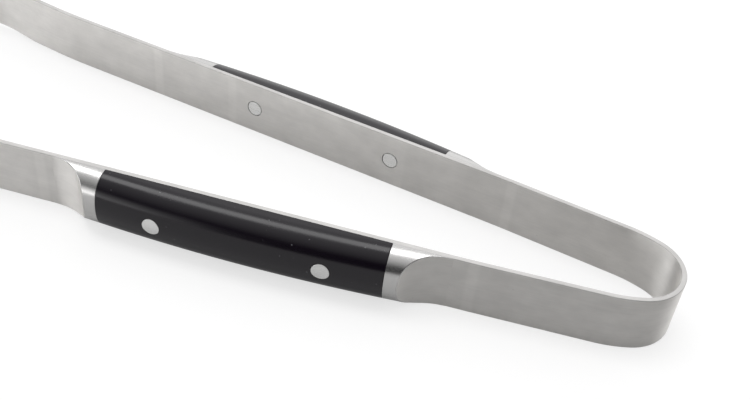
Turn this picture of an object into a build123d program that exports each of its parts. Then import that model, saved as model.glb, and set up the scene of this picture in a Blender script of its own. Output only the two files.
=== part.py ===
from build123d import *

import os
from math import asin, cos, degrees, radians, sin, sqrt

# Spring loaded kitchen tongs: one flat steel strip stands on its edge and is folded into a U.
# The U bow is the spring, and its two legs are the arms. Each arm carries a riveted grip slab
# between two D-section bolsters on its outer face, and ends in a necked, scalloped head.
#
# Millimetres. X runs from the tips to the bow, Y across the opening and Z up across the strip.
# The origin is on the surface that the tongs lie on, in the middle of their length.
# The right arm is on the +Y side. The left arm's pieces are its mirror images.

# ---- Driving dimensions ------------------------------------------------------------------

overall_length = 430.0  # outer face of the bow to the points of the teeth

strip_width = 25.0
strip_thickness = 2.0
strip_edge = 0.35  # the strip's long edges are broken at 45 degrees

bow_radius = 18.3  # middle of the strip round the crown of the bow
bow_turn = 67.0  # degrees turned at that radius on each side of the crown
flex_turn = 42.0  # degrees from the crown to the point about which an arm swings
seam_gap = 0.1  # between the bow and an arm, where the strip is divided
shoulder_radius = 52.0  # easier curve from the bow into the arm
shoulder_turn = 15.7  # degrees

heel_length = 48.0  # straight, from the shoulder to the set
set_radius = 300.0  # slight inward set just behind the grip
set_turn = 1.5  # degrees
toe_setback = 1.0  # from the set to the toe of the rear bolster

slab_length = 117.2
slab_height = 12.9  # at the middle of the grip, off the strip's face
crown_radius = 760.0  # lengthwise crown of the slab, which runs straight on over the bolsters
cap_radius = 20.0  # crosswise crown
corner_radius = 10.1  # between the crosswise crown and the flanks
bolster_length = 23.3  # from the end of the slab to the toe
scoop_radius = 21.0  # hollow that is ground down to the strip
toe_thickness = 0.2

rivet_diameter = 7.3
rivet_spacing = 69.0
rivet_clearance = 0.05  # radial, in slab and strip

fore_length = 51.0  # straight, from the toe of the front bolster to the flare
flare_radius = 220.0  # the jaw swings outwards, away from the other arm
flare_turn = 4.5  # degrees
jaw_length = 25.0  # straight, between the flare and the tuck
tuck_radius = 90.0  # and is then turned in towards the tips
tuck_turn = 16.0  # degrees

neck_width = 19.6
neck_start = 110.0  # from the tips to where the arm begins to narrow
neck_rear = 72.0  # from the tips to the bow side of the neck
neck_front = 62.0  # and to its head side
head_length = 38.0  # full width, measured back from the tips
tooth_count = 5  # odd, so that one tooth stands at the very tip
tooth_notch_radius = 1.9
tooth_notch_offset = 0.6  # centres of the notches, outside the round end of the head
tooth_spread = 128.0  # degrees of the round end, from the first notch to the last
outline_margin = 0.4  # how far the head's outline runs outside the strip where it cuts nothing

# ---- Places that follow from them --------------------------------------------------------

half_thickness = strip_thickness / 2
mid_height = strip_width / 2
bow_center = Vector(overall_length / 2 - half_thickness - bow_radius, 0, mid_height)
rear_lean = 90 - bow_turn - shoulder_turn  # degrees between the heel and the middle line
front_lean = rear_lean - set_turn
flare_lean = front_lean + flare_turn
head_lean = flare_lean - tuck_turn
slab_end = slab_length / 2
grip_length = slab_length + 2 * bolster_length
land_lean = degrees(asin(slab_end / crown_radius))  # the bolsters' crown line, to the strip's face
rivet_radius = rivet_diameter / 2
clear_height = slab_height + strip_thickness  # higher than any part of the grip
outline_half = mid_height + outline_margin

# ---- Middle line of the right half of the strip ------------------------------------------

seam_turn = flex_turn + degrees(seam_gap / bow_radius)
with BuildLine(Plane.XY.offset(mid_height)) as right_middle:
    bow_end = CenterArc((bow_center.X, 0), bow_radius, seam_turn, bow_turn - seam_turn)
    shoulder = JernArc(bow_end @ 1, bow_end % 1, shoulder_radius, shoulder_turn)
    heel = PolarLine(shoulder @ 1, heel_length, 180 - rear_lean)
    inward_set = JernArc(heel @ 1, heel % 1, set_radius, set_turn)
    grip_run = PolarLine(inward_set @ 1, toe_setback + grip_length + fore_length, 180 - front_lean)
    flare = JernArc(grip_run @ 1, grip_run % 1, flare_radius, -flare_turn)
    jaw = PolarLine(flare @ 1, jaw_length, 180 - flare_lean)
    tuck = JernArc(jaw @ 1, jaw % 1, tuck_radius, tuck_turn)
    head_reach = (tuck @ 1).X + overall_length / 2 - half_thickness * abs(sin(radians(head_lean)))
    head_run = PolarLine(tuck @ 1, head_reach / cos(radians(head_lean)), 180 - head_lean)

# The grip's own planes stand on the strip's outer face, halfway along the grip.
along = grip_run % 0.5
outward = along.cross(Vector(0, 0, 1))
grip_middle = (grip_run @ 0) + along * (toe_setback + grip_length / 2) + outward * half_thickness
grip_face = Plane(grip_middle, x_dir=along, z_dir=outward)
grip_plan = Plane(grip_middle, x_dir=along, z_dir=along.cross(outward))

# The head's plane lies in the middle of its sheet, with its origin at the points of the teeth.
head_along = head_run % 1
head_face = Plane(head_run @ 1, x_dir=head_along, z_dir=head_along.cross(Vector(0, 0, 1)))


def section_plane(path):
    """Plane across the start of a path, with its x axis outwards."""
    return Plane(path @ 0, x_dir=(path % 0).cross(Vector(0, 0, 1)), z_dir=path % 0)


# ---- Sections of strip and grip, with X outwards -----------------------------------------

with BuildSketch() as strip_section:
    Rectangle(strip_thickness, strip_width)
    chamfer(strip_section.vertices(), strip_edge)

with BuildSketch() as grip_section:
    with BuildLine():
        cap_drop = cap_radius - sqrt(cap_radius**2 - mid_height**2)
        cap = ThreePointArc((-cap_drop, -mid_height), (0, 0), (-cap_drop, mid_height))
        Polyline(cap @ 1, (-clear_height, mid_height), (-clear_height, -mid_height), cap @ 0)
    make_face()
    fillet(grip_section.vertices().group_by(Axis.X)[-1], corner_radius)

# ---- Spring bow --------------------------------------------------------------------------

with BuildPart() as spring_bow:
    with BuildLine(Plane.XY.offset(mid_height)) as bow_middle:
        CenterArc((bow_center.X, 0), bow_radius, -flex_turn, 2 * flex_turn)
    with BuildSketch(section_plane(bow_middle.line)):
        add(strip_section.sketch)
    sweep(path=bow_middle.line)

# ---- Right arm ---------------------------------------------------------------------------

with BuildPart() as right_arm:
    with BuildSketch(section_plane(right_middle.wire())):
        add(strip_section.sketch)
    sweep(path=right_middle.wire())
    # Outline of neck and head, cut square through the sheet of the head.
    with BuildSketch(head_face):
        with BuildLine():
            back = Line((-overall_length, 0), (-overall_length, outline_half))
            full = Line(back @ 1, (-neck_start, outline_half))
            waist = Line((-neck_rear, neck_width / 2), (-neck_front, neck_width / 2))
            Spline(full @ 1, waist @ 0, tangents=(full % 1, waist % 0))
            cheek = Line((-head_length, outline_half), (-outline_half, outline_half))
            Spline(waist @ 1, cheek @ 0, tangents=(waist % 1, cheek % 0))
            RadiusArc(cheek @ 1, (0, 0), outline_half)
            Line((0, 0), back @ 0)
        make_face()
        mirror(about=Plane.XZ)
        notch_reach = outline_half + tooth_notch_offset
        with Locations((-outline_half, 0)):
            with PolarLocations(notch_reach, tooth_count + 1, -tooth_spread / 2, tooth_spread, endpoint=True):
                Circle(tooth_notch_radius, mode=Mode.SUBTRACT)
    extrude(amount=overall_length, both=True, mode=Mode.INTERSECT)
    with BuildSketch(grip_face):
        with GridLocations(rivet_spacing, 0, 2, 1):
            Circle(rivet_radius + rivet_clearance)
    extrude(amount=-strip_thickness, mode=Mode.SUBTRACT)

# ---- Grip form: the crowned D that slab and rivets are both ground to --------------------


def crown_height(reach):
    """Height of the grip over the strip's face, a distance from its middle."""
    return slab_height - crown_radius + sqrt(crown_radius**2 - reach**2)


with BuildPart() as grip_form:
    with BuildLine(grip_plan) as crown_line:
        toe_height = crown_height(grip_length / 2)
        ThreePointArc((-grip_length / 2, toe_height), (0, slab_height), (grip_length / 2, toe_height))
    with BuildSketch(section_plane(crown_line.line)):
        add(grip_section.sketch)
    sweep(path=crown_line.line)

# ---- Right grip: slab, bolsters and rivets -----------------------------------------------

with BuildPart() as right_grip_slab:
    add(grip_form.part)
    with BuildSketch(grip_face):
        Rectangle(slab_length, strip_width)
    extrude(amount=clear_height, mode=Mode.INTERSECT)
    with BuildSketch(grip_face):
        with GridLocations(rivet_spacing, 0, 2, 1):
            Circle(rivet_radius + rivet_clearance)
    extrude(amount=clear_height, mode=Mode.SUBTRACT)

with BuildPart() as right_front_bolster:
    # The D runs on past the toe, and is then cut off square to the strip.
    with BuildLine(grip_plan) as land_line:
        PolarLine((slab_end, crown_height(slab_end)), bolster_length + clear_height, -land_lean)
    with BuildSketch(section_plane(land_line.line)):
        add(grip_section.sketch)
    sweep(path=land_line.line)
    with BuildSketch(grip_face):
        with Locations((slab_end + bolster_length / 2, 0)):
            Rectangle(bolster_length, strip_width)
    extrude(amount=clear_height, mode=Mode.INTERSECT)
    # The scoop is ground down to the strip, from a centre straight over the toe.
    with BuildSketch(grip_plan):
        with Locations((grip_length / 2, scoop_radius + toe_thickness)):
            Circle(scoop_radius)
    extrude(amount=strip_width, both=True, mode=Mode.SUBTRACT)

with BuildPart() as right_rear_bolster:
    mirror(right_front_bolster.part, about=Plane(grip_middle, x_dir=outward, z_dir=along))

with BuildPart() as right_rivets:
    with BuildSketch(grip_face) as shanks:
        with GridLocations(rivet_spacing, 0, 2, 1):
            Circle(rivet_radius)
    extrude(amount=clear_height)
    add(grip_form.part, mode=Mode.INTERSECT)
    extrude(shanks.sketch, amount=-strip_thickness)

# ---- Left side: the mirror image, and the files ------------------------------------------

right_pieces = {
    "arm": right_arm.part,
    "grip_slab": right_grip_slab.part,
    "rear_bolster": right_rear_bolster.part,
    "front_bolster": right_front_bolster.part,
    "rivets": right_rivets.part,
}

pieces = {"spring_bow": spring_bow.part}
for name, piece in right_pieces.items():
    with BuildPart() as left_piece:
        mirror(piece, about=Plane.XZ)
    pieces["right_" + name] = piece
    pieces["left_" + name] = left_piece.part

os.makedirs("parts", exist_ok=True)
for name, piece in pieces.items():
    piece.label = name
    export_step(piece, f"parts/{name}.step")
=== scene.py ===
"""Spring loaded kitchen tongs: the finished surfaces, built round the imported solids.

One steel strip stands on its edge and is folded into a U, whose bow is the spring. Each arm carries
a black grip slab between two polished bolsters. Lengths are metres. X runs from the tips to the bow,
Y across the opening and Z up. The right arm is on the +Y side, and the left one is its mirror image.
"""

from math import acos, asin, copysign, cos, hypot, pi, radians, sin, sqrt

import bmesh
import bpy
from bpy.props import FloatProperty, FloatVectorProperty, IntProperty, PointerProperty
from mathutils import Matrix, Vector


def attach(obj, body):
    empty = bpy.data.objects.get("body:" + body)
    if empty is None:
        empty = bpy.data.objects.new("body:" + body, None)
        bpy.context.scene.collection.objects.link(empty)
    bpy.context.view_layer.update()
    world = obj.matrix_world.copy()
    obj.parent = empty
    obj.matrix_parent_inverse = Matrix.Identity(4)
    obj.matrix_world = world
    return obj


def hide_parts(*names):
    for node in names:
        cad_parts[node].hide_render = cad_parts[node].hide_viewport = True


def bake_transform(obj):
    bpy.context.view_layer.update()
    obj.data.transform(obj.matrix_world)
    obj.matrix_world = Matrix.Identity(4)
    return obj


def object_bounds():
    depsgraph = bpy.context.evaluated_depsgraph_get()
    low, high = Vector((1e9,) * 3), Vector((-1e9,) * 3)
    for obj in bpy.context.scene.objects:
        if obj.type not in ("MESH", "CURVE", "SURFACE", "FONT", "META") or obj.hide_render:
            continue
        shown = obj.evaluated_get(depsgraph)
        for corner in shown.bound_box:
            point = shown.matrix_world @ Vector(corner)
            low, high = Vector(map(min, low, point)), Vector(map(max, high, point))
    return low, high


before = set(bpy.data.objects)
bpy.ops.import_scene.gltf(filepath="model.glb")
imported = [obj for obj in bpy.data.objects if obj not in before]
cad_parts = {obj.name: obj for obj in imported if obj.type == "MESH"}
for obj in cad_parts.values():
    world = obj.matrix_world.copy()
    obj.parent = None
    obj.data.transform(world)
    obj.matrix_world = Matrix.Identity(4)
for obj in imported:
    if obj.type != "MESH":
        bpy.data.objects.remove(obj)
cad_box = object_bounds()

bl_info = {
    "name": "Spring Kitchen Tongs",
    "version": (1, 0, 0),
    "blender": (4, 5, 0),
    "location": "3D View > Sidebar > Tongs",
    "description": "Dresses the solids of spring loaded kitchen tongs",
    "category": "Object",
}

MM = 0.001
LENGTH = cad_box[1].x - cad_box[0].x
WIDTH = cad_box[1].z - cad_box[0].z
SIDES = {"right": 1, "left": -1}
GRAIN = "along_across"  # UV map of the steel pieces, in metres along the strip and across it

MERGE = 1e-6  # metres within which two points of a mesh are one
HAIR = 1e-7  # metres by which points that belong together may differ


# ---- Settings ------------------------------------------------------------------------------


def length(name, description, default):
    """A size in metres, as a property."""
    return FloatProperty(name=name, description=description, default=default, unit="LENGTH", precision=5)


def turn(name, description, default):
    """An angle as a property, from degrees."""
    return FloatProperty(name=name, description=description, default=radians(default), unit="ROTATION")


def colour(name, description, default):
    """A colour as a property."""
    return FloatVectorProperty(
        name=name, description=description, default=default, subtype="COLOR", size=3, min=0, max=1
    )


def share(name, description, default):
    """A number from 0 to 1 as a property."""
    return FloatProperty(
        name=name, description=description, default=default, min=0, max=1, subtype="FACTOR"
    )


def brightness(name, description, default):
    """A brightness as a property."""
    return FloatProperty(name=name, description=description, default=default, min=0)


def spot(name, description, default):
    """A place in metres, as a property."""
    return FloatVectorProperty(
        name=name, description=description, default=default, subtype="TRANSLATION", unit="LENGTH", size=3
    )


class TongsStrip(bpy.types.PropertyGroup):
    """Sizes of the bent strip."""

    thickness: length("Thickness", "Thickness of the sheet", 2.0 * MM)
    edge: length("Edge Rounding", "Rounding along the long edges", 0.3 * MM)
    bow_radius: length("Bow Radius", "Middle of the strip round the crown of the bow", 18.3 * MM)
    bow_turn: turn("Bow Turn", "Turned at that radius on each side of the crown", 67.0)
    shoulder_radius: length("Shoulder Radius", "Easier curve from the bow into the arm", 52.0 * MM)
    shoulder_turn: turn("Shoulder Turn", "Turned by the shoulder", 15.7)
    heel_length: length("Heel Length", "Straight from the shoulder to the set", 48.0 * MM)
    set_radius: length("Set Radius", "Slight inward set behind the grip", 300.0 * MM)
    set_turn: turn("Set Turn", "Turned by the set", 1.5)
    toe_setback: length("Toe Setback", "From the set to the toe of the rear bolster", 1.0 * MM)
    fore_length: length("Fore Length", "Straight from the front bolster's toe to the flare", 51.0 * MM)
    flare_radius: length("Flare Radius", "Where the jaw swings outwards", 220.0 * MM)
    flare_turn: turn("Flare Turn", "Turned outwards by the flare", 4.5)
    jaw_length: length("Jaw Length", "Straight between the flare and the tuck", 25.0 * MM)
    tuck_radius: length("Tuck Radius", "Where the jaw turns in towards the tips", 90.0 * MM)
    tuck_turn: turn("Tuck Turn", "Turned inwards by the tuck", 16.0)
    neck_width: length("Neck Width", "Width of the strip at the neck", 19.6 * MM)
    neck_start: length("Neck Start", "From the tips to where the arm begins to narrow", 110.0 * MM)
    neck_rear: length("Neck Rear", "From the tips to the bow side of the neck", 72.0 * MM)
    neck_front: length("Neck Front", "From the tips to the head side of the neck", 62.0 * MM)
    head_length: length("Head Length", "Full width, measured back from the tips", 38.0 * MM)
    tip_radius: length("Tip Radius", "Round end that the teeth stand on", 12.9 * MM)
    tooth_count: IntProperty(name="Teeth", description="Teeth on the round end", default=5, min=1)
    tooth_notch: length("Tooth Notch", "Radius of the notches between the teeth", 1.9 * MM)
    tooth_offset: length("Notch Offset", "Notch centres outside the round end", 0.6 * MM)
    tooth_spread: turn("Tooth Spread", "Angle from the first notch to the last", 128.0)


class TongsGrip(bpy.types.PropertyGroup):
    """Sizes of the slabs, bolsters and rivets."""

    slab_length: length("Slab Length", "Between the two bolsters", 117.2 * MM)
    height: length("Height", "At the middle of the grip, off the strip's face", 12.9 * MM)
    crown_radius: length("Crown Radius", "Lengthwise crown of slab and bolsters", 760.0 * MM)
    cap_radius: length("Cap Radius", "Crosswise crown", 20.0 * MM)
    corner_radius: length("Corner Radius", "Between the crosswise crown and the flanks", 10.1 * MM)
    slab_edge: length("Slab Edge", "Rounding of the slab's ends at the joint lines", 0.3 * MM)
    bolster_length: length("Bolster Length", "From the end of the slab to the toe", 23.3 * MM)
    scoop_radius: length("Scoop Radius", "Hollow that is ground down to the strip", 21.0 * MM)
    crest_edge: length("Crest Edge", "Rounding of the edge between cap and scoop", 0.3 * MM)
    bolster_edge: length("Bolster Edge", "Bevel of the bolster's end, at the slab", 0.12 * MM)
    rivet_diameter: length("Rivet Diameter", "Across the rivet's head", 7.3 * MM)
    rivet_spacing: length("Rivet Spacing", "Between the two rivets of a slab", 69.0 * MM)
    rivet_gap: length("Rivet Gap", "Hole's wall to the rivet", 0.05 * MM)
    rivet_chamfer: length("Rivet Chamfer", "Bevel of the rivet's ends", 0.08 * MM)
    rivet_groove: length("Rivet Groove", "Open ring round the rivet's inner end", 0.25 * MM)


class TongsLook(bpy.types.PropertyGroup):
    """Colours and finishes."""

    steel: colour("Steel", "Brushed faces of the strip", (0.755, 0.74, 0.72))
    rim: colour("Ground Edge", "Ground edges of the strip", (0.57, 0.562, 0.553))
    polish: colour("Polished Steel", "Bolsters", (0.49, 0.485, 0.48))
    rivet: colour("Rivets", "Ground ends of the rivets", (0.75, 0.75, 0.74))
    plastic: colour("Plastic", "Grip slabs", (0.0028, 0.0008, 0.0044))
    plastic_speck: colour("Plastic Specks", "Specks on the slabs", (0.10, 0.10, 0.11))
    brush: share("Brush Marks", "Strength of the brushing", 0.35)
    brushed_rough: share("Brushed Roughness", "Faces of the strip and scoops of the bolsters", 0.5)
    rim_rough: share("Ground Edge Roughness", "Ground edges of the strip", 0.6)
    polish_rough: share("Polished Roughness", "Round of the bolsters", 0.16)
    rivet_rough: share("Rivet Roughness", "Ends of the rivets", 0.3)
    plastic_smooth: share("Plastic Roughness", "Where the slabs are smoothest", 0.17)
    plastic_worn: share("Worn Plastic Roughness", "Where the slabs are dullest", 0.24)
    floor: colour("Floor", "Table and backdrop", (0.35, 0.35, 0.35))
    floor_bounce: colour("Floor Bounce", "Floor colour for light that the tongs mirror", (0.60, 0.60, 0.60))
    floor_glow: share("Floor Glow", "How much of the floor's paleness is its own", 0.68)
    mirrored_glow: share("Mirrored Glow", "Share of that glow in what mirrors the floor", 0.25)


class TongsStage(bpy.types.PropertyGroup):
    """Camera, light and floor."""

    azimuth: turn("Azimuth", "Camera's way round the tongs", 17.56)
    elevation: turn("Elevation", "Camera's height over the horizon", 39.51)
    roll: turn("Roll", "Camera's roll", 6.50)
    distance: length("Distance", "Camera to the point it looks at", 406.6 * MM)
    lens: FloatProperty(name="Lens", description="Focal length, millimetres", default=47.38, unit="CAMERA")
    aim: spot("Aim", "Point that the camera looks at", (89.55 * MM, 4.26 * MM, 12.01 * MM))
    key_power: FloatProperty(name="Key Power", description="Overhead softbox", default=14.0, unit="POWER")
    key_place: spot("Key Place", "Middle of the overhead softbox", (-0.70, 0.23, 1.9))
    key_width: length("Key Width", "Softbox along the tongs", 1.84)
    key_depth: length("Key Depth", "Softbox across the tongs", 0.72)
    floor_reach: length("Floor Reach", "From the middle of the floor to its edges", 6.0)
    floor_drop: length("Floor Drop", "Floor below the tongs, so that no two faces coincide", 0.05 * MM)
    dim_azimuth: turn("Dim Walls", "Middle of the dim front, turned from -Y towards the tips", 8.0)
    back_level: brightness("Back Wall", "Brightness of the back wall", 1.4)
    top_level: brightness("Ceiling", "Brightness overhead", 1.0)
    dim_level: brightness("Dim Level", "Brightness of the front and the sides, low down", 0.06)
    window_azimuth: turn("Window", "Way to the low window, turned from -Y towards the tips", 53.0)
    window_level: brightness("Window Level", "Added by the window", 4.1)


# ---- Small helpers --------------------------------------------------------------------------


def mix(a, b, t):
    """From a to b."""
    return a + (b - a) * t


def ease(t):
    """Smooth step from 0 to 1."""
    t = min(max(t, 0.0), 1.0)
    return t * t * (3 - 2 * t)


def arc_points(centre, radius, first, last, count):
    """Points on an arc, both ends included."""
    angles = [mix(first, last, i / count) for i in range(count + 1)]
    return [(centre[0] + radius * cos(a), centre[1] + radius * sin(a)) for a in angles]


def mesh_from(bm, name):
    """A mesh of that name from a bmesh, which is freed."""
    mesh = bpy.data.meshes.new(name)
    bm.to_mesh(mesh)
    bm.free()
    return mesh


def finish_piece(mesh, name, materials, crease=30.0):
    """Links an object with those materials, shaded crisply at edges of crease degrees or more."""
    for material in materials:
        mesh.materials.append(material)
    mesh.shade_smooth()
    mesh.set_sharp_from_angle(angle=radians(crease))
    piece = bpy.data.objects.new(name, mesh)
    bpy.context.scene.collection.objects.link(piece)
    normals = piece.modifiers.new("Even Normals", "WEIGHTED_NORMAL")
    normals.keep_sharp = True
    return plain(piece)


def plain(piece):
    """Turns what a piece's modifiers make into its own mesh, and removes them."""
    graph = bpy.context.evaluated_depsgraph_get()
    made = bpy.data.meshes.new_from_object(piece.evaluated_get(graph), depsgraph=graph)
    old = piece.data
    piece.modifiers.clear()
    piece.data = made
    made.name = piece.name
    bpy.data.meshes.remove(old)
    return piece


def mirror_y(mesh):
    """Mirrors a mesh in the middle plane of the tongs, and keeps its faces outward."""
    mesh.transform(Matrix.Scale(-1, 4, (0, 1, 0)))
    mesh.flip_normals()


# ---- The strip's middle line ----------------------------------------------------------------


class MiddleLine:
    """The middle of the right half of the strip in plan, from the crown of the bow to the tips."""

    TURN_STEP = radians(1.5)  # turned between two cuts in a bend
    RUN_STEP = 12 * MM  # between two cuts in a straight run

    def __init__(self, strip, grip):
        self.half = strip.thickness / 2
        grip_length = grip.slab_length + 2 * grip.bolster_length
        run = strip.toe_setback + grip_length + strip.fore_length
        bends = [
            (strip.bow_radius * strip.bow_turn, strip.bow_turn),
            (strip.shoulder_radius * strip.shoulder_turn, strip.shoulder_turn),
            (strip.heel_length, 0),
            (strip.set_radius * strip.set_turn, strip.set_turn),
            (run, 0),
            (strip.flare_radius * strip.flare_turn, -strip.flare_turn),
            (strip.jaw_length, 0),
            (strip.tuck_radius * strip.tuck_turn, strip.tuck_turn),
        ]
        self.runs = []
        start, x, y, heading = 0.0, LENGTH / 2 - self.half, 0.0, pi / 2
        for stretch, angle in bends:
            self.runs.append((start, x, y, heading, angle / stretch))
            x, y, heading = self.step(x, y, heading, angle / stretch, stretch)
            start += stretch
        self.runs.append((start, x, y, heading, 0.0))
        lean = pi - heading
        self.length = start + (x + LENGTH / 2 - self.half * abs(sin(lean))) / cos(lean)
        heel, grip_run = self.runs[2], self.runs[4]
        self.shoulder_end = heel[0]
        self.grip_middle = grip_run[0] + strip.toe_setback + grip_length / 2

    @staticmethod
    def step(x, y, heading, curve, stretch):
        """Where a stretch of constant curvature leads."""
        if not curve:
            return x + stretch * cos(heading), y + stretch * sin(heading), heading
        end = heading + curve * stretch
        return x + (sin(end) - sin(heading)) / curve, y - (cos(end) - cos(heading)) / curve, end

    def place(self, s):
        """Plan position and heading at a distance s from the crown of the bow."""
        start, x, y, heading, curve = [r for r in self.runs if r[0] <= max(s, 0.0)][-1]
        return self.step(x, y, heading, curve, s - start)

    def bend(self, s, across, out):
        """A point of the flat blank, bent: s along the strip, across its width, and out of its middle."""
        x, y, heading = self.place(s)
        return Vector((x + out * sin(heading), y - out * cos(heading), WIDTH / 2 + across))

    def cuts(self):
        """Where the blank is divided so that it bends smoothly."""
        ends = [r[0] for r in self.runs[1:]] + [self.length]
        found = []
        for (start, _, _, _, curve), end in zip(self.runs, ends):
            stretch = end - start
            count = max(1, round(abs(curve) * stretch / self.TURN_STEP), round(stretch / self.RUN_STEP))
            found += [start + stretch * i / count for i in range(1, count + 1)]
        return found[:-1]


# ---- Strip ----------------------------------------------------------------------------------

TOOTH_STEPS, NOTCH_STEPS, HOLE_SIDES = 4, 8, 48  # of the arcs of a tooth's end, a notch and a rivet hole


def blank_outline(strip, line):
    """Upper half of the flat blank's outline, from the crown of the bow to the middle tooth."""
    tip_x, tip_y, heading = line.place(line.length)
    ahead = (cos(heading), sin(heading))

    def reach(s):
        """Distance back from the tips, measured along the head."""
        x, y, _ = line.place(s)
        return (tip_x - x) * ahead[0] + (tip_y - y) * ahead[1]

    def half_width(s):
        """Half the blank's width at s."""
        back = reach(s)
        rear = (back - strip.neck_rear) / (strip.neck_start - strip.neck_rear)
        front = (strip.neck_front - back) / (strip.neck_front - strip.head_length)
        return min(WIDTH / 2, mix(strip.neck_width / 2, strip.tip_radius, ease(max(rear, front))))

    neck_step = 1.5 * MM
    margin = 4 * MM  # beyond both ends of the neck
    first = line.length - strip.neck_start - margin
    count = round((strip.neck_start + margin - strip.head_length + margin) / neck_step)
    points = [(0.0, WIDTH / 2)]
    points += [(first + i * neck_step, half_width(first + i * neck_step)) for i in range(count + 1)]

    middle = (line.length - strip.tip_radius, 0.0)
    ring = strip.tip_radius + strip.tooth_offset
    notch = strip.tooth_notch
    bite = acos((strip.tip_radius**2 + ring**2 - notch**2) / (2 * strip.tip_radius * ring))
    spin = acos((notch**2 + ring**2 - strip.tip_radius**2) / (2 * notch * ring))
    pitch = strip.tooth_spread / strip.tooth_count
    angle = asin(WIDTH / 2 / strip.tip_radius)
    for i in range((strip.tooth_count + 1) // 2):
        at = strip.tooth_spread / 2 - i * pitch
        points += arc_points(middle, strip.tip_radius, angle, at + bite, TOOTH_STEPS)
        centre = (middle[0] + ring * cos(at), middle[1] + ring * sin(at))
        points += arc_points(centre, notch, at + pi - spin, at + pi + spin, NOTCH_STEPS)[1:-1]
        angle = at - bite
    points += arc_points(middle, strip.tip_radius, angle, 0.0, TOOTH_STEPS)
    return points


def strip_blank(strip, grip, line):
    """The flat blank as a bmesh: x along the strip, y across it and z out of its outer face."""
    bm = bmesh.new()
    upper = blank_outline(strip, line)
    outline = upper + [(x, -y) for x, y in reversed(upper[:-1])]
    loops = [outline]
    hole = grip.rivet_diameter / 2 + grip.rivet_gap
    for side in (-1, 1):
        centre = (line.grip_middle + side * grip.rivet_spacing / 2, 0.0)
        loops.append(arc_points(centre, hole, 0, 2 * pi, HOLE_SIDES)[:-1])
    edges = []
    for points in loops:
        verts = [bm.verts.new((x, y, -strip.thickness / 2)) for x, y in points]
        edges += [bm.edges.new((a, b)) for a, b in zip(verts, verts[1:] + verts[:1])]
    bmesh.ops.triangle_fill(bm, use_beauty=True, use_dissolve=False, edges=edges)
    for s in line.cuts():
        everything = bm.verts[:] + bm.edges[:] + bm.faces[:]
        bmesh.ops.bisect_plane(bm, geom=everything, dist=HAIR / 10, plane_co=(s, 0, 0), plane_no=(1, 0, 0))
    bmesh.ops.remove_doubles(bm, verts=bm.verts, dist=HAIR)
    bmesh.ops.recalc_face_normals(bm, faces=bm.faces)
    if bm.faces[0].normal.z > 0:
        bmesh.ops.reverse_faces(bm, faces=bm.faces)
    made = bmesh.ops.extrude_face_region(bm, geom=bm.faces[:], use_keep_orig=True)
    top = [v for v in made["geom"] if isinstance(v, bmesh.types.BMVert)]
    bmesh.ops.translate(bm, verts=top, vec=(0, 0, strip.thickness))
    bmesh.ops.recalc_face_normals(bm, faces=bm.faces)
    return bm


def round_blank(bm, strip, grip, line):
    """Rounds the rims of the blank and of its rivet holes, and marks them with the second material."""
    hole = grip.rivet_diameter / 2 + 2 * grip.rivet_gap
    centres = [line.grip_middle + side * grip.rivet_spacing / 2 for side in (-1, 1)]
    corner = radians(60)  # least angle between the two faces at a rim
    rims, holes = [], []
    for edge in bm.edges:
        if len(edge.link_faces) != 2 or edge.calc_face_angle(0) < corner:
            continue
        if abs(edge.verts[0].co.z - edge.verts[1].co.z) > MERGE:
            continue
        middle = (edge.verts[0].co + edge.verts[1].co) / 2
        if middle.x < MERGE:
            continue
        near = min(hypot(middle.x - x, middle.y) for x in centres)
        (holes if near < hole else rims).append(edge)
    bmesh.ops.bevel(bm, geom=rims, offset=strip.edge, segments=3, profile=0.5, affect="EDGES")
    holes = [e for e in holes if e.is_valid]
    bmesh.ops.bevel(bm, geom=holes, offset=grip.rivet_gap, segments=1, profile=0.5, affect="EDGES")
    flat = 0.999  # least height of the normal of a face that lies in the sheet
    for face in bm.faces:
        face.material_index = 0 if abs(face.normal.z) > flat else 1


def make_strip(side, strip, grip, line, materials):
    """Half of the strip, from the crown of the bow to the tips, bent from its flat blank."""
    bm = strip_blank(strip, grip, line)
    round_blank(bm, strip, grip, line)
    layer = bm.loops.layers.uv.new(GRAIN)
    for face in bm.faces:
        for loop in face.loops:
            s, across, out = loop.vert.co
            loop[layer].uv = (SIDES[side] * s, across + face.material_index * out)
    for vert in bm.verts:
        vert.co = line.bend(*vert.co)
    mesh = mesh_from(bm, f"{side}_strip")
    if side == "left":
        mirror_y(mesh)
    return finish_piece(mesh, f"{side}_strip", materials)


# ---- Grip section ---------------------------------------------------------------------------


def crown_height(grip, x):
    """Height of the grip over the strip's face: crowned over the slab, straight on over the bolsters."""
    reach = min(abs(x), grip.slab_length / 2)
    level = sqrt(grip.crown_radius**2 - reach**2)
    return grip.height - grip.crown_radius + level - (abs(x) - reach) * reach / level


class Section:
    """The D section of slab and bolsters, by the angle that its surface has turned from the crown."""

    def __init__(self, grip):
        self.cap, self.corner = grip.cap_radius, grip.corner_radius
        self.corner_z = WIDTH / 2 - self.corner
        drop = sqrt((self.cap - self.corner) ** 2 - self.corner_z**2)
        self.corner_depth = self.cap - drop
        self.blend = asin(self.corner_z / (self.cap - self.corner))

    def depth(self, angle):
        """How far the section has fallen from its crown."""
        if abs(angle) <= self.blend:
            return self.cap * (1 - cos(angle))
        return self.corner_depth - self.corner * cos(angle)

    def across(self, angle):
        """Distance from the middle of the strip's width."""
        if abs(angle) <= self.blend:
            return self.cap * sin(angle)
        return (self.corner_z + self.corner * sin(abs(angle))) * (1 if angle > 0 else -1)

    def base_angle(self, height):
        """Angle at which a grip of that height meets the strip's face."""
        return acos(min(1.0, max(0.0, (self.corner_depth - height) / self.corner)))


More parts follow.
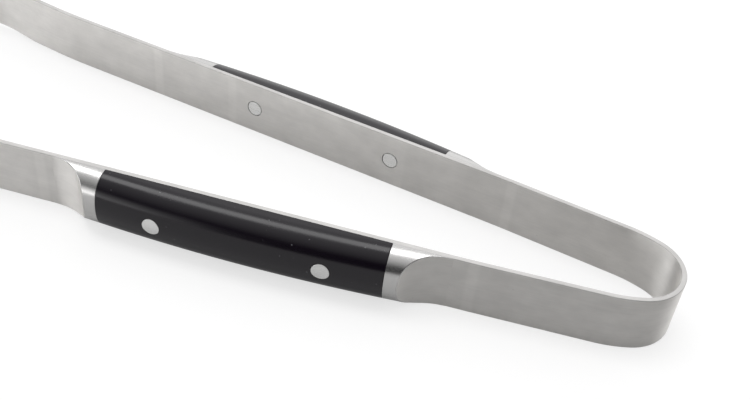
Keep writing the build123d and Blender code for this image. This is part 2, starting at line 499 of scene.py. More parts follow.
def grip_matrix(line):
    """From the grip's own axes to the right arm: x to the bow, y outwards, z up."""
    x, y, heading = line.place(line.grip_middle)
    rear = Vector((-cos(heading), -sin(heading), 0))
    out = Vector((sin(heading), -cos(heading), 0))
    turned = Matrix((rear, out, Vector((0, 0, 1)))).transposed().to_4x4()
    place = Vector((x, y, WIDTH / 2)) + out * line.half
    return Matrix.Translation(place) @ turned


# ---- Bolsters -------------------------------------------------------------------------------


def bolster_mesh(grip, end, foot):
    """One bolster in the grip's axes, ground to the D section and scooped down to the strip.

    Its foot reaches below the strip's face, where it fills the rounding of the strip's edges.
    """
    section = Section(grip)
    rows, steps, scoop_steps, halvings = 72, 26, 40, 50
    slab_end = grip.slab_length / 2
    span = grip.bolster_length
    toe = 0.02 * MM  # thickness at the toe
    crest_foot = 1.2 * MM  # height from which the crest is rounded

    def scoop(d):
        """Height of the hollow, a distance from the toe."""
        return toe + grip.scoop_radius - sqrt(grip.scoop_radius**2 - min(d, grip.scoop_radius) ** 2)

    def surface(t, d):
        """Point of the D section at t, from -1 to 1 round the section, a distance from the toe."""
        height = crown_height(grip, slab_end + span - d)
        angle = t * section.base_angle(height)
        return max(0.0, height - section.depth(angle)), section.across(angle)

    def crest(t):
        """Distance from the toe at which the hollow meets the D section."""
        low, high = 0.0, span
        for _ in range(halvings):
            middle = (low + high) / 2
            if scoop(middle) < surface(t, middle)[0]:
                low = middle
            else:
                high = middle
        return low

    bm = bmesh.new()
    layer = bm.loops.layers.uv.new(GRAIN)

    def vert(d, height, z):
        """A corner of the mesh, a distance from the toe."""
        return bm.verts.new((end * (slab_end + span - d), height, z))

    def quads(grid, material):
        """Faces between the rows of a grid of corners."""
        for row, above in zip(grid, grid[1:]):
            for a, b, c, e in zip(row, row[1:], above[1:], above):
                face = bm.faces.new((a, b, c, e))
                face.material_index = material

    shell, hollow = [], []
    for j in range(rows + 1):
        t = 2 * j / rows - 1
        top = crest(t)
        line = [mix(span, top, i / steps) for i in range(steps + 1)]
        shell.append([vert(d, *surface(t, d)) for d in line])
        z = surface(t, top)[1]
        down = [top * (1 - i / scoop_steps) for i in range(1, scoop_steps + 1)]
        hollow.append([shell[-1][-1]] + [vert(d, scoop(d), z) for d in down])
    quads(shell, 0)
    quads(hollow, 1)
    feet = []
    for row, hole in ((shell[0], hollow[0]), (shell[-1], hollow[-1])):
        feet.append([bm.verts.new((v.co.x, -foot, v.co.z)) for v in row + hole[1:]])
        quads([row + hole[1:], feet[-1]], 0)
    quads(feet, 0)
    bm.faces.new([row[0] for row in shell] + [feet[1][0], feet[0][0]])
    bm.faces.new([row[-1] for row in hollow] + [feet[1][-1], feet[0][-1]])
    bmesh.ops.remove_doubles(bm, verts=bm.verts, dist=MERGE)
    bmesh.ops.dissolve_degenerate(bm, edges=bm.edges, dist=HAIR)
    bmesh.ops.recalc_face_normals(bm, faces=bm.faces)
    sharp = [
        e for e in bm.edges
        if len(e.link_faces) == 2
        and {f.material_index for f in e.link_faces} == {0, 1}
        and min(v.co.y for v in e.verts) > crest_foot
    ]
    bmesh.ops.bevel(bm, geom=sharp, offset=grip.crest_edge, segments=3, profile=0.5, affect="EDGES")
    rim = [
        e for e in bm.edges
        if min(v.co.y for v in e.verts) > -HAIR
        and max(abs(abs(v.co.x) - slab_end) for v in e.verts) < HAIR
    ]
    bmesh.ops.bevel(bm, geom=rim, offset=grip.bolster_edge, segments=1, profile=0.5, affect="EDGES")
    for face in bm.faces:
        for loop in face.loops:
            x, y, z = loop.vert.co
            round_section = (1 - face.material_index) * copysign(crown_height(grip, x) - y, z)
            loop[layer].uv = (x, z + round_section)
    return mesh_from(bm, "bolster")


# ---- Node trees -----------------------------------------------------------------------------

NODE_SPACING = (180, 160)  # in the node editor, between columns and between rows


def join(tree, node, inputs):
    """Fills a node's inputs: a socket is linked, a value is set."""
    for name, value in inputs.items():
        socket = node.inputs[name]
        if isinstance(value, bpy.types.NodeSocket):
            tree.links.new(value, socket)
        else:
            socket.default_value = value


def add_node(tree, kind, at, inputs=(), **settings):
    """Adds a node, sets its properties, and fills its inputs."""
    node = tree.nodes.new(kind)
    node.location = (at[0] * NODE_SPACING[0], at[1] * NODE_SPACING[1])
    for name, value in settings.items():
        setattr(node, name, value)
    join(tree, node, dict(inputs))
    return node


def result(tree, kind, at, inputs=(), **settings):
    """Adds a node, and gives its first output."""
    return add_node(tree, kind, at, inputs, **settings).outputs[0]


def maths(tree, operation, at, *values):
    """A Math node's result."""
    return result(tree, "ShaderNodeMath", at, dict(enumerate(values)), operation=operation)


def vector(tree, at, **parts):
    """A vector from its parts."""
    return result(tree, "ShaderNodeCombineXYZ", at, parts)


def split(tree, at, source):
    """The three parts of a vector."""
    return add_node(tree, "ShaderNodeSeparateXYZ", at, {0: source}).outputs


def mixed(tree, at, factor, a, b):
    """A number from a to b."""
    return result(tree, "ShaderNodeMix", at, {0: factor, 2: a, 3: b})


def tinted(tree, at, factor, a, b):
    """A colour from a to b."""
    inputs = {"Factor": factor, "A": a, "B": b}
    return add_node(tree, "ShaderNodeMix", at, inputs, data_type="RGBA").outputs["Result"]


class Formula:
    """Writes arithmetic as Math nodes, from left to right in a tree."""

    ROWS = 8  # nodes in a column

    def __init__(self, tree):
        self.tree, self.count = tree, 0

    def __call__(self, operation, *values):
        """The result of one operation."""
        self.count += 1
        return maths(self.tree, operation, (self.count // self.ROWS, -(self.count % self.ROWS)), *values)


def start_tree(name, values):
    """A Geometry Nodes tree with an input for each named value, and its input sockets."""
    tree = bpy.data.node_groups.new(name, "GeometryNodeTree")
    for item, value in values.items():
        kind = {int: "NodeSocketInt", float: "NodeSocketFloat"}.get(type(value), "NodeSocketMaterial")
        tree.interface.new_socket(item, in_out="INPUT", socket_type=kind)
    tree.interface.new_socket("Geometry", in_out="OUTPUT", socket_type="NodeSocketGeometry")
    return tree, add_node(tree, "NodeGroupInput", (-2, 0)).outputs


def end_tree(tree, geometry, material, at):
    """Realizes what the tree made, and gives it its material."""
    x, y = at
    real = result(tree, "GeometryNodeRealizeInstances", at, {"Geometry": geometry})
    done = result(tree, "GeometryNodeSetMaterial", (x + 1, y), {"Geometry": real, "Material": material})
    add_node(tree, "NodeGroupOutput", (x + 2, y), {"Geometry": done})


def run_tree(tree, values):
    """The plain mesh that a tree makes from those values."""
    carrier = bpy.data.objects.new(tree.name, bpy.data.meshes.new(tree.name))
    bpy.context.scene.collection.objects.link(carrier)
    modifier = carrier.modifiers.new(tree.name, "NODES")
    modifier.node_group = tree
    for item in tree.interface.items_tree:
        if item.in_out == "INPUT":
            modifier[item.identifier] = values[item.name]
    mesh = plain(carrier).data
    bpy.data.objects.remove(carrier)
    mesh.materials.pop(index=0)  # the empty slot that Set Material leaves before its own
    return mesh


def rivet_points(tree, given, at):
    """The rivets' places along the grip, evenly about its middle."""
    f = Formula(tree)
    gaps = f("SUBTRACT", given["Rivets"], 1.0)
    first = f("MULTIPLY", f("MULTIPLY", gaps, given["Rivet Spacing"]), -0.5)
    start = vector(tree, (at[0], at[1] - 1), X=first)
    step = vector(tree, (at[0], at[1] - 2), X=given["Rivet Spacing"])
    inputs = {"Count": given["Rivets"], "Start Location": start, "Offset": step}
    return result(tree, "GeometryNodeMeshLine", at, inputs)


def on_points(tree, at, points, instance, rotation=(0.0, 0.0, 0.0)):
    """A copy of a mesh at each point, as one mesh."""
    inputs = {"Points": points, "Instance": instance, "Rotation": rotation}
    copies = result(tree, "GeometryNodeInstanceOnPoints", at, inputs)
    return result(tree, "GeometryNodeRealizeInstances", (at[0] + 1, at[1]), {"Geometry": copies})


def moved(tree, at, geometry, place):
    """A mesh with its points at new places."""
    return result(tree, "GeometryNodeSetPosition", at, {"Geometry": geometry, "Position": place})


def crown_nodes(f, given, x):
    """Height of the slab's crown line over the strip's face, as nodes."""
    radius = given["Crown Radius"]
    level = f("SQRT", f("SUBTRACT", f("MULTIPLY", radius, radius), f("MULTIPLY", x, x)))
    return f("ADD", f("SUBTRACT", given["Height"], radius), level)


# ---- Grip slabs -----------------------------------------------------------------------------

SLAB_STEPS, SLAB_END_STEPS, SLAB_ROWS, DRILL_SIDES = 60, 3, 84, 64


def slab_tree(name, values):
    """Geometry Nodes: a box whose outer face is bent to the crowned D section, drilled for the rivets."""
    tree, given = start_tree(name, values)
    f = Formula(tree)
    box = result(tree, "GeometryNodeMeshCube", (0, 2), {
        "Size": (2.0, 2.0, 2.0),
        "Vertices X": SLAB_STEPS + 2 * SLAB_END_STEPS + 1,
        "Vertices Y": 2,
        "Vertices Z": SLAB_ROWS + 1,
    })
    # Each coordinate of the box runs from -1 to 1.
    u, side, v = split(tree, (1, 3), result(tree, "GeometryNodeInputPosition", (0, 3)))

    # Along the slab, the last few steps go round the small radius of its ends.
    straight = SLAB_STEPS / (SLAB_STEPS + 2 * SLAB_END_STEPS)
    reach = f("ABSOLUTE", u)
    body = f("DIVIDE", f("MINIMUM", reach, straight), straight)
    turned = f("MULTIPLY", f("MAXIMUM", f("SUBTRACT", reach, straight), 0.0), pi / 2 / (1 - straight))
    edge = given["End Rounding"]
    flat = f("SUBTRACT", f("MULTIPLY", given["Length"], 0.5), edge)
    x = f("ADD", f("MULTIPLY", body, flat), f("MULTIPLY", edge, f("SINE", turned)))
    x = f("MULTIPLY", x, f("SIGN", u))
    inset = f("MULTIPLY", edge, f("SUBTRACT", 1.0, f("COSINE", turned)))

    # Across it, the section turns from flank to flank: corner, cap, corner.
    cap, corner = given["Cap Radius"], given["Corner Radius"]
    height = crown_nodes(f, given, x)
    corner_z = f("SUBTRACT", f("MULTIPLY", given["Width"], 0.5), corner)
    inner = f("SUBTRACT", cap, corner)
    fall = f("SUBTRACT", f("MULTIPLY", inner, inner), f("MULTIPLY", corner_z, corner_z))
    corner_depth = f("SUBTRACT", cap, f("SQRT", fall))
    lift = f("MAXIMUM", f("DIVIDE", f("SUBTRACT", corner_depth, height), corner), 0.0)
    angle = f("MULTIPLY", v, f("ARCCOSINE", lift))
    on_corner = f("GREATER_THAN", f("ABSOLUTE", angle), f("ARCSINE", f("DIVIDE", corner_z, inner)))
    sine, cosine = f("SINE", angle), f("COSINE", angle)
    cap_fall = f("MULTIPLY", cap, f("SUBTRACT", 1.0, cosine))
    corner_fall = f("SUBTRACT", corner_depth, f("MULTIPLY", corner, cosine))
    corner_out = f("ADD", f("MULTIPLY", f("SIGN", angle), corner_z), f("MULTIPLY", corner, sine))
    sunk = mixed(tree, (12, 1), on_corner, cap_fall, corner_fall)
    across = mixed(tree, (12, 0), on_corner, f("MULTIPLY", cap, sine), corner_out)
    outer = f("SUBTRACT", f("SUBTRACT", height, sunk), f("MULTIPLY", inset, cosine))
    y = f("MULTIPLY", f("GREATER_THAN", side, 0.0), f("MAXIMUM", outer, 0.0))
    z = f("SUBTRACT", across, f("MULTIPLY", inset, sine))
    slab = moved(tree, (15, 2), box, vector(tree, (14, 2), X=x, Y=y, Z=z))

    # The drills stand across the slab and reach well past both of its faces.
    drill = result(tree, "GeometryNodeMeshCylinder", (15, 0), {
        "Vertices": DRILL_SIDES,
        "Radius": f("MULTIPLY", given["Hole Diameter"], 0.5),
        "Depth": f("MULTIPLY", given["Height"], 4.0),
    })
    drills = on_points(tree, (16, 0), rivet_points(tree, given, (15, -1)), drill, (pi / 2, 0.0, 0.0))
    meshes = {"Mesh 1": slab, "Mesh 2": drills}
    drilled = result(
        tree, "GeometryNodeMeshBoolean", (18, 1), meshes, operation="DIFFERENCE", solver="EXACT"
    )
    end_tree(tree, drilled, given["Material"], (19, 1))
    return tree


def grip_values(grip, material):
    """The sizes that slabs and rivets share."""
    return {
        "Height": grip.height,
        "Crown Radius": grip.crown_radius,
        "Cap Radius": grip.cap_radius,
        "Rivets": 2,
        "Rivet Spacing": grip.rivet_spacing,
        "Material": material,
    }


def seat_on_arm(mesh, side, line):
    """Moves a mesh from the grip's axes to its arm."""
    mesh.transform(grip_matrix(line))
    if side == "left":
        mirror_y(mesh)


GRIP_CREASE = 25.0  # degrees, from which an edge of a slab or a rivet is shaded crisp


def make_slab(side, grip, line, material):
    """A grip slab on its arm."""
    values = grip_values(grip, material) | {
        "Length": grip.slab_length,
        "Width": WIDTH,
        "Corner Radius": grip.corner_radius,
        "End Rounding": grip.slab_edge,
        "Hole Diameter": grip.rivet_diameter + 2 * grip.rivet_gap,
    }
    mesh = run_tree(slab_tree(f"{side}_slab_nodes", values), values)
    seat_on_arm(mesh, side, line)
    return finish_piece(mesh, f"{side}_slab", [], GRIP_CREASE)


# ---- Rivets ---------------------------------------------------------------------------------

RIVET_SIDES, RIVET_RINGS, RIVET_STEPS = 64, 6, 4  # round it, across its ends and along it
GROOVE_DEPTH = 4.0  # of the ring round the rivet's inner end, as a multiple of its width


def rivet_tree(name, values):
    """Geometry Nodes: a row of rivets, each turned from a cylinder and ground flush with the slab."""
    tree, given = start_tree(name, values)
    f = Formula(tree)
    blank = result(tree, "GeometryNodeMeshCylinder", (0, 2), {
        "Vertices": RIVET_SIDES,
        "Side Segments": RIVET_STEPS,
        "Fill Segments": RIVET_RINGS,
        "Radius": 1.0,
        "Depth": float(RIVET_STEPS),
    }, fill_type="TRIANGLE_FAN")
    # The cylinder's steps are 1 high, so its levels count from 0 at the inner end.
    place = result(tree, "GeometryNodeInputPosition", (0, 3))
    a, b, level = split(tree, (1, 3), place)
    level = f("ROUND", f("ADD", level, RIVET_STEPS / 2))

    # From its inner end: bevel, groove, shank, and the bevel of its outer end.
    radius, chamfer, shank = f("MULTIPLY", given["Diameter"], 0.5), given["Chamfer"], given["Shank"]
    neck = f("SUBTRACT", radius, given["Groove"])
    inner_end, outer_bevel = f("MULTIPLY", shank, -1.0), f("MULTIPLY", chamfer, -1.0)
    root = f("ADD", inner_end, f("MULTIPLY", given["Groove"], GROOVE_DEPTH))
    radii = (f("SUBTRACT", neck, chamfer), neck, neck, radius, radius)
    heights = (inner_end, f("SUBTRACT", chamfer, shank), root, root, outer_bevel)
    turned = []
    for row, sizes in enumerate((radii, heights)):
        switch = add_node(tree, "GeometryNodeIndexSwitch", (8, row), data_type="FLOAT")
        for _ in range(len(sizes) - len(switch.index_switch_items)):
            switch.index_switch_items.new()
        tree.links.new(level, switch.inputs[0])
        for socket, size in zip(switch.inputs[1:], sizes):
            tree.links.new(size, socket)
        turned.append(switch.outputs[0])
    size, height = turned

    # The rings inside the rim of each end lie flat, on the level of the bevel's inner edge.
    off_axis = f("SQRT", f("ADD", f("MULTIPLY", a, a), f("MULTIPLY", b, b)))
    inside = f("LESS_THAN", off_axis, 1 - 0.5 / RIVET_RINGS)
    widened = f("MULTIPLY", f("SUBTRACT", size, chamfer), RIVET_RINGS / (RIVET_RINGS - 1))
    scale = mixed(tree, (10, 1), inside, size, widened)
    raised = f("MULTIPLY", f("MULTIPLY", inside, f("GREATER_THAN", level, RIVET_STEPS - 0.5)), chamfer)
    x, y, z = f("MULTIPLY", a, scale), f("ADD", height, raised), f("MULTIPLY", b, scale)
    rivet = moved(tree, (13, 2), blank, vector(tree, (12, 2), X=x, Y=y, Z=z))
    rivet = result(tree, "GeometryNodeFlipFaces", (14, 2), {"Mesh": rivet})
    row = on_points(tree, (15, 2), rivet_points(tree, given, (14, 0)), rivet)

    # The outer ends follow the slab's crowned cap.
    x, y, z = split(tree, (16, 3), place)
    cap = given["Cap Radius"]
    sunk = f("SUBTRACT", cap, f("SQRT", f("SUBTRACT", f("MULTIPLY", cap, cap), f("MULTIPLY", z, z))))
    lift = vector(tree, (17, 1), Y=f("SUBTRACT", crown_nodes(f, given, x), sunk))
    outer = f("GREATER_THAN", y, f("MULTIPLY", shank, -0.5))
    inputs = {"Geometry": row, "Selection": outer, "Offset": lift}
    ground = result(tree, "GeometryNodeSetPosition", (18, 2), inputs)
    inputs = {"Geometry": ground, "Name": GRAIN, "Value": vector(tree, (18, 1), X=x, Y=z)}
    ground = result(
        tree, "GeometryNodeStoreNamedAttribute", (19, 2), inputs, data_type="FLOAT2", domain="CORNER"
    )
    end_tree(tree, ground, given["Material"], (20, 2))
    return tree


def make_rivets(side, grip, strip, line, material):
    """The rivets of one slab, through slab and arm."""
    values = grip_values(grip, material) | {
        "Diameter": grip.rivet_diameter,
        "Shank": strip.thickness,
        "Chamfer": grip.rivet_chamfer,
        "Groove": grip.rivet_groove,
    }
    mesh = run_tree(rivet_tree(f"{side}_rivet_nodes", values), values)
    seat_on_arm(mesh, side, line)
    return finish_piece(mesh, f"{side}_rivet_row", [], GRIP_CREASE)


# ---- Materials ------------------------------------------------------------------------------

# Noise, in repeats per metre along the grain and across it.
BELT_LINES = (90.0, 7000.0, 1.0)
STREAKS = (12.0, 1100.0, 1.0)
BLOTCHES = (75.0, 130.0, 1.0)
MOULD_GRAIN = (220.0, 2600.0, 2600.0)
WEAR = (45.0, 160.0, 160.0)

# Specks: cells per metre, size as a share of a cell, and the noise above which they stand.
STEEL_SPECKS = (260.0, 0.1, 0.62)
PLASTIC_SPECKS = (420.0, 0.16, 0.6)

# Painted reflection: paler bands across the strip that stand for reflected light. Given as metres from the
# crown of the bow, half width and strength.
PAINTED_SHEEN_BANDS = (
    (262.0 * MM, 3.2 * MM, 0.7),
    (84.5 * MM, 3.0 * MM, 0.5),
    (221.0 * MM, 3.0 * MM, 0.4),
    (135.0 * MM, 3.0 * MM, 0.3),
)
PAINTED_SHEEN_CORE = 0.4  # share of the half width that has the full strength

STREAK_TONE, BLOTCH_TONE = 0.15, 0.6  # how far streaks and blotches move the tone
TONE_REACH = 0.3  # of the tone, lighter and darker, at full brushing
ROUGH_SPREAD = 0.06  # of the roughness, up and down
POLISHED_MARKS, GROUND_MARKS = 0.3, 0.5  # brush marks left by polishing and by grinding
BELT_DEPTH, MOULD_DEPTH = 0.003 * MM, 0.01 * MM  # of the relief
QUARTER_TURN = 0.25  # in whole turns


def new_material(name):
    """A material with its tree and its Principled shader."""
    material = bpy.data.materials.new(name)
    material.use_nodes = True
    tree = material.node_tree
    return material, tree, tree.nodes["Principled BSDF"]


def grain(tree, at, where, scale, detail=3.0):
    """Noise on stretched coordinates."""
    placed = result(tree, "ShaderNodeMapping", at, {"Vector": where, "Scale": scale})
    inputs = {"Vector": placed, "Scale": 1.0, "Detail": detail, "Roughness": 0.55}
    return add_node(tree, "ShaderNodeTexNoise", (at[0] + 1, at[1]), inputs).outputs["Fac"]


def ranged(tree, at, value, low, high, start=0.3, end=0.7, smooth=False):
    """A value between start and end, moved to the range from low to high and kept in it."""
    inputs = {"Value": value, "From Min": start, "From Max": end, "To Min": low, "To Max": high}
    kind = "SMOOTHSTEP" if smooth else "LINEAR"
    return result(tree, "ShaderNodeMapRange", at, inputs, interpolation_type=kind)


def specks(tree, at, where, scale, size, rarity):
    """Small round marks, only where a broad noise is above the rarity.

    A mark fades over its outer half, and the patches of marks are some three cells wide.
    """
    x, y = at
    cells = result(tree, "ShaderNodeTexVoronoi", at, {"Vector": where, "Scale": scale})
    dots = ranged(tree, (x + 1, y), cells, 1.0, 0.0, 0.5 * size, size)
    patches = grain(tree, (x, y - 1), where, (0.35 * scale,) * 3, 1.0)
    patches = ranged(tree, (x + 2, y - 1), patches, 0.0, 1.0, rarity, rarity + 0.04)
    return maths(tree, "MULTIPLY", (x + 2, y), dots, patches)


def steel_material(name, shade, roughness, brush, sheen_bands=(), anisotropy=0.96):
    """Brushed steel, whose grain runs along the piece's own UV map. The sheen bands paint paler reflected
    light across it.
    """
    material, tree, shader = new_material(name)
    uv = result(tree, "ShaderNodeUVMap", (-8, 0), uv_map=GRAIN)
    fine = grain(tree, (-7, 2), uv, BELT_LINES, 2.0)
    streaks = ranged(tree, (-5, 1), grain(tree, (-7, 1), uv, STREAKS), -STREAK_TONE, STREAK_TONE)
    blotches = ranged(tree, (-5, 0), grain(tree, (-7, 0), uv, BLOTCHES, 4.0), -BLOTCH_TONE, BLOTCH_TONE)
    tone = maths(tree, "ADD", (-4, 1), streaks, blotches)
    # Each band lightens the tone across the strip: a painted reflection, not a mark of the steel.
    if sheen_bands:
        along = maths(tree, "ABSOLUTE", (-6, -2), split(tree, (-7, -2), uv)[0])
        for place, reach, strength in sheen_bands:
            off = maths(tree, "ABSOLUTE", (-5, -2), maths(tree, "SUBTRACT", (-6, -3), along, place))
            painted_sheen = ranged(tree, (-4, -2), off, strength, 0.0, PAINTED_SHEEN_CORE * reach, reach, smooth=True)
            tone = maths(tree, "ADD", (-3, -1), tone, painted_sheen)
    tone = maths(tree, "SUBTRACT", (-2, 0), tone, specks(tree, (-7, -4), uv, *STEEL_SPECKS))
    dark = [c * (1 - TONE_REACH * brush) for c in shade] + [1]
    pale = [min(1, c * (1 + TONE_REACH * brush)) for c in shade] + [1]
    base = tinted(tree, (-1, 1), ranged(tree, (-2, 1), tone, 0.0, 1.0, -1.0, 1.0), dark, pale)
    rough = ranged(tree, (-1, 0), fine, roughness - ROUGH_SPREAD, roughness + ROUGH_SPREAD)
    bump = {"Height": fine, "Strength": brush, "Distance": BELT_DEPTH}
    join(tree, shader, {
        "Base Color": base,
        "Roughness": rough,
        "Normal": result(tree, "ShaderNodeBump", (-1, -1), bump),
        # The marks of the belt run along the piece, so its gloss spreads across it.
        "Tangent": result(tree, "ShaderNodeTangent", (-1, -2), direction_type="UV_MAP", uv_map=GRAIN),
        "Metallic": 1.0,
        "Anisotropic": anisotropy,
        "Anisotropic Rotation": QUARTER_TURN,
    })
    return material


def plastic_material(look):
    """Black satin plastic with a fine moulded grain and a few paler specks."""
    material, tree, shader = new_material("black_plastic")
    where = add_node(tree, "ShaderNodeTexCoord", (-8, 0)).outputs["Object"]
    skin = grain(tree, (-7, 1), where, MOULD_GRAIN, 2.0)
    wear = grain(tree, (-7, 0), where, WEAR)
    dots = specks(tree, (-7, -2), where, *PLASTIC_SPECKS)
    bump = {"Height": skin, "Strength": 0.25, "Distance": MOULD_DEPTH}
    join(tree, shader, {
        "Base Color": tinted(tree, (-2, 1), dots, (*look.plastic, 1), (*look.plastic_speck, 1)),
        "Roughness": ranged(tree, (-2, 0), wear, look.plastic_smooth, look.plastic_worn),
        "Normal": result(tree, "ShaderNodeBump", (-2, -1), bump),
        "Specular IOR Level": 0.42,
    })
    return material


# ---- Stage ----------------------------------------------------------------------------------


def floor_material(look):
    """Pale matt floor, partly lit by itself for the camera and for what mirrors or lets it through."""
    material, tree, shader = new_material("pale_floor")
    rays = add_node(tree, "ShaderNodeLightPath", (-4, 0)).outputs
    mirrored = maths(tree, "MAXIMUM", (-3, 0), rays["Is Glossy Ray"], rays["Is Transmission Ray"])
    mirrored = maths(tree, "MULTIPLY", (-3, 1), mirrored, look.mirrored_glow)
    seen = maths(tree, "MAXIMUM", (-2, 0), rays["Is Camera Ray"], mirrored)
    glow = maths(tree, "MULTIPLY", (-1, 0), seen, look.floor_glow)
    paint, bounce = (*look.floor, 1), (*look.floor_bounce, 1)
    join(tree, shader, {
        "Base Color": tinted(tree, (-1, 1), rays["Is Camera Ray"], bounce, paint),
        "Roughness": 0.9,
        "Specular IOR Level": 0.0,
        "Emission Color": (1, 1, 1, 1),
        "Emission Strength": glow,
    })
    return material


# Sines of the elevation, from which the walls shade into the ceiling and up to which the window reaches.
BACK_TOP, FRONT_TOP, WINDOW_TOP = 0.5, 0.47, 0.46

# Cosines of the angle off the middle: nothing up to the first, and everything from the second.
DIM_WIDTH, WINDOW_WIDTH = (-0.97, 0.05), (0.72, 1.0)


def make_world(stage):
    """A room with a pale back wall, a dim front and sides, and a wide low window on the front left."""
    world = bpy.data.worlds.new("studio")
    world.use_nodes = True
    tree = world.node_tree
    way = add_node(tree, "ShaderNodeTexCoord", (-8, 0)).outputs["Generated"]
    up = split(tree, (-7, 1), way)["Z"]
    flat = result(tree, "ShaderNodeVectorMath", (-7, 0), {0: way, 1: (1, 1, 0)}, operation="MULTIPLY")
    flat = result(tree, "ShaderNodeVectorMath", (-6, 0), {0: flat}, operation="NORMALIZE")

    def facing(row, azimuth, width):
        """1 towards an azimuth and 0 away from it."""
        toward = {0: flat, 1: (-sin(azimuth), -cos(azimuth), 0)}
        match = add_node(tree, "ShaderNodeVectorMath", (-5, row), toward, operation="DOT_PRODUCT")
        return ranged(tree, (-4, row), match.outputs["Value"], 0.0, 1.0, *width, smooth=True)

    back = ranged(tree, (-4, 2), up, stage.back_level, stage.top_level, BACK_TOP, 1.0)
    front = ranged(tree, (-4, 1), up, stage.dim_level, stage.top_level, FRONT_TOP, 1.0)
    walls = mixed(tree, (-3, 1), facing(0, stage.dim_azimuth, DIM_WIDTH), back, front)
    window = facing(-1, stage.window_azimuth, WINDOW_WIDTH)
    window = maths(tree, "MULTIPLY", (-3, -1), window, stage.window_level)
    fade = ranged(tree, (-4, -2), up, 1.0, 0.0, 0.0, WINDOW_TOP)
    window = maths(tree, "MULTIPLY", (-2, -1), window, fade)
    lit = maths(tree, "ADD", (-1, 0), walls, window)
    seen = add_node(tree, "ShaderNodeLightPath", (-2, 1)).outputs["Is Camera Ray"]
    strength = mixed(tree, (0, 0), seen, lit, 1.0)
    join(tree, tree.nodes["Background"], {"Color": (1, 1, 1, 1), "Strength": strength})
    bpy.context.scene.world = world


def make_light(name, power, width, depth, place):
    """A softbox that faces straight down."""
    light = bpy.data.lights.new(name, "AREA")
    light.shape, light.energy = "RECTANGLE", power
    light.size, light.size_y = width, depth
    lamp = bpy.data.objects.new(name, light)
    lamp.location = place
    bpy.context.scene.collection.objects.link(lamp)


def make_floor(look, stage):
    """The floor, just under the tongs."""
    bm = bmesh.new()
    bmesh.ops.create_grid(bm, x_segments=1, y_segments=1, size=stage.floor_reach)
    mesh = mesh_from(bm, "floor")
    mesh.transform(Matrix.Translation((0, 0, -stage.floor_drop)))
    mesh.materials.append(floor_material(look))
    floor = bpy.data.objects.new("floor", mesh)
    bpy.context.scene.collection.objects.link(floor)


def make_camera(stage):
    """The camera, aimed at the rear half of the tongs."""
    a, e, r = stage.azimuth, stage.elevation, stage.roll
    ahead = Vector((-sin(a) * cos(e), cos(a) * cos(e), -sin(e)))
    level = Vector((cos(a), sin(a), 0))
    up = level.cross(ahead)
    right = cos(r) * level + sin(r) * up
    over = cos(r) * up - sin(r) * level
    data = bpy.data.cameras.new("camera")
    data.lens = stage.lens
    data.clip_start = 0.01
    camera = bpy.data.objects.new("camera", data)
    turned = Matrix((right, over, -ahead)).transposed().to_4x4()
    camera.matrix_world = Matrix.Translation(Vector(stage.aim) - ahead * stage.distance) @ turned
    bpy.context.scene.collection.objects.link(camera)
    bpy.context.scene.camera = camera


# ---- Operators ------------------------------------------------------------------------------


def settings():
    """The four groups of settings."""
    scene = bpy.context.scene
    return scene.tongs_strip, scene.tongs_grip, scene.tongs_look, scene.tongs_stage


class TONGS_OT_strip(bpy.types.Operator):
    """Makes the bent strip as two halves, which meet at the crown of the bow"""

    bl_idname = "tongs.strip"
    bl_label = "Bent Strip"

    def execute(self, context):
        strip, grip, look, _ = settings()
        line = MiddleLine(strip, grip)
        # The brushed faces carry the bands of painted reflection.
        face = steel_material("brushed_steel", look.steel, look.brushed_rough, look.brush, PAINTED_SHEEN_BANDS)
        rim = steel_material("ground_edge", look.rim, look.rim_rough, look.brush, anisotropy=0.0)
        for side in SIDES:
            piece = make_strip(side, strip, grip, line, [face, rim])
            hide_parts("spring_bow", f"{side}_arm")
            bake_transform(piece)
        return {"FINISHED"}


class TONGS_OT_bolsters(bpy.types.Operator):
    """Makes the four scooped bolsters"""

    bl_idname = "tongs.bolsters"
    bl_label = "Bolsters"

    def execute(self, context):
        strip, grip, look, _ = settings()
        line = MiddleLine(strip, grip)
        marks = POLISHED_MARKS * look.brush
        polish = steel_material("polished_steel", look.polish, look.polish_rough, marks)
        scoop = steel_material("scooped_steel", look.steel, look.brushed_rough, look.brush)
        for side in SIDES:
            for name, end in (("rear", 1), ("front", -1)):
                mesh = bolster_mesh(grip, end, strip.edge)
                seat_on_arm(mesh, side, line)
                piece = finish_piece(mesh, f"{side}_{name}_bolster_form", [polish, scoop])
                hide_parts(f"{side}_{name}_bolster")
                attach(piece, f"{side}_arm")
        return {"FINISHED"}


class TONGS_OT_slabs(bpy.types.Operator):
    """Makes the two grip slabs"""

    bl_idname = "tongs.slabs"
    bl_label = "Grip Slabs"

    def execute(self, context):
        strip, grip, look, _ = settings()
        line = MiddleLine(strip, grip)
        plastic = plastic_material(look)
        for side in SIDES:
            piece = make_slab(side, grip, line, plastic)
            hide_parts(f"{side}_grip_slab")
            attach(piece, f"{side}_arm")
        return {"FINISHED"}


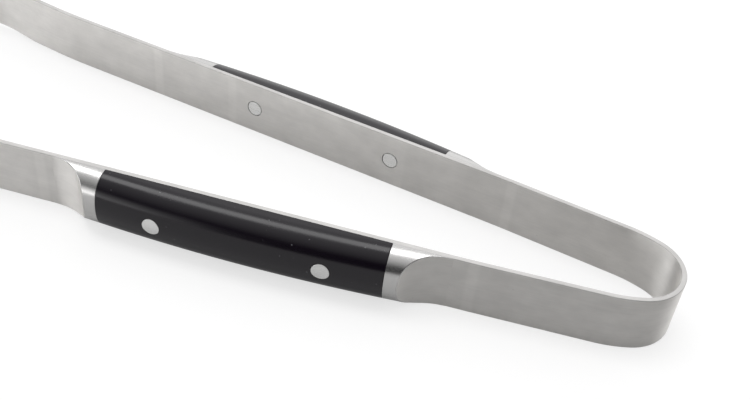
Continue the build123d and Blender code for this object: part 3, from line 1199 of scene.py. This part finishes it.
class TONGS_OT_rivets(bpy.types.Operator):
    """Makes the rivets, two through each slab"""

    bl_idname = "tongs.rivets"
    bl_label = "Rivets"

    def execute(self, context):
        strip, grip, look, _ = settings()
        line = MiddleLine(strip, grip)
        marks = GROUND_MARKS * look.brush
        steel = steel_material("ground_rivets", look.rivet, look.rivet_rough, marks)
        for side in SIDES:
            piece = make_rivets(side, grip, strip, line, steel)
            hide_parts(f"{side}_rivets")
            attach(piece, f"{side}_arm")
        return {"FINISHED"}


class TONGS_OT_stage(bpy.types.Operator):
    """Makes the floor, the lights and the camera"""

    bl_idname = "tongs.stage"
    bl_label = "Stage"

    def execute(self, context):
        _, _, look, stage = settings()
        make_floor(look, stage)
        make_world(stage)
        make_light("key_softbox", stage.key_power, stage.key_width, stage.key_depth, stage.key_place)
        make_camera(stage)
        context.scene.view_settings.view_transform = "Standard"
        return {"FINISHED"}


class TONGS_PT_panel(bpy.types.Panel):
    """Lists the pieces and the settings"""

    bl_idname = "TONGS_PT_panel"
    bl_label = "Kitchen Tongs"
    bl_space_type = "VIEW_3D"
    bl_region_type = "UI"
    bl_category = "Tongs"

    def draw(self, context):
        """Draws a button for each operator and a box for each group of settings."""
        for operator in OPERATORS:
            self.layout.operator(operator.bl_idname)
        for name in GROUPS:
            box = self.layout.box()
            group = getattr(context.scene, name)
            for item in group.__annotations__:
                box.prop(group, item)


GROUPS = {
    "tongs_strip": TongsStrip,
    "tongs_grip": TongsGrip,
    "tongs_look": TongsLook,
    "tongs_stage": TongsStage,
}
OPERATORS = (TONGS_OT_strip, TONGS_OT_bolsters, TONGS_OT_slabs, TONGS_OT_rivets, TONGS_OT_stage)


def register():
    """Registers the settings, the operators and the panel."""
    for group in GROUPS.values():
        bpy.utils.register_class(group)
    for name, group in GROUPS.items():
        setattr(bpy.types.Scene, name, PointerProperty(type=group))
    for cls in (*OPERATORS, TONGS_PT_panel):
        bpy.utils.register_class(cls)


def unregister():
    """Undoes what register did."""
    for cls in (TONGS_PT_panel, *reversed(OPERATORS)):
        bpy.utils.unregister_class(cls)
    for name, group in GROUPS.items():
        delattr(bpy.types.Scene, name)
        bpy.utils.unregister_class(group)


def main():
    """Makes every piece and the stage."""
    register()
    bpy.ops.tongs.strip()
    bpy.ops.tongs.bolsters()
    bpy.ops.tongs.slabs()
    bpy.ops.tongs.rivets()
    bpy.ops.tongs.stage()


if __name__ == "__main__":
    main()
